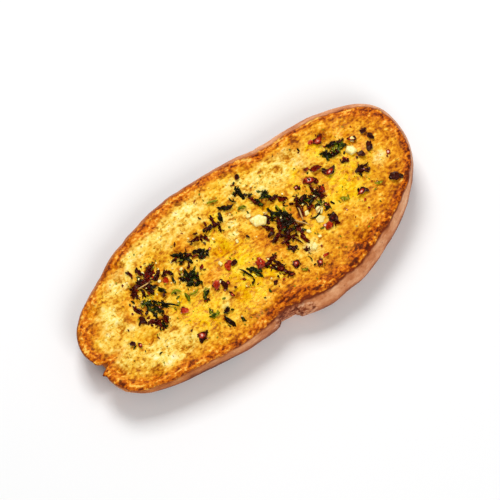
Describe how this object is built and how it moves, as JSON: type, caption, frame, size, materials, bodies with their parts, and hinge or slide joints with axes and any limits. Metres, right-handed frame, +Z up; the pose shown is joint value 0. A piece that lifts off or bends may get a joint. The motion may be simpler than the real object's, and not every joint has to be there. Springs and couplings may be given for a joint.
{
  "type": "garlic bread slice",
  "caption": "Slice of garlic bread: baguette cut on the slant, toasted, with a buttered face sprinkled with parsley, chopped garlic and chilli; lies flat on its lower cut face.",
  "frame": {"origin": "middle of the slice's box, on the surface its lower cut face rests on", "axes": "+X along the slice's length towards its thicker end, +Y across it towards the straighter long side, +Z up out of the buttered face"},
  "size_m": [0.1432, 0.0676, 0.0184],
  "materials": {
    "toasted_bread": "golden toasted crumb with a browned rim and a pale brown crust, slightly glossy with butter"
  },
  "bodies": {
    "root": {"garlic_bread_slice": "toasted_bread"}
  },
  "joints": []
}
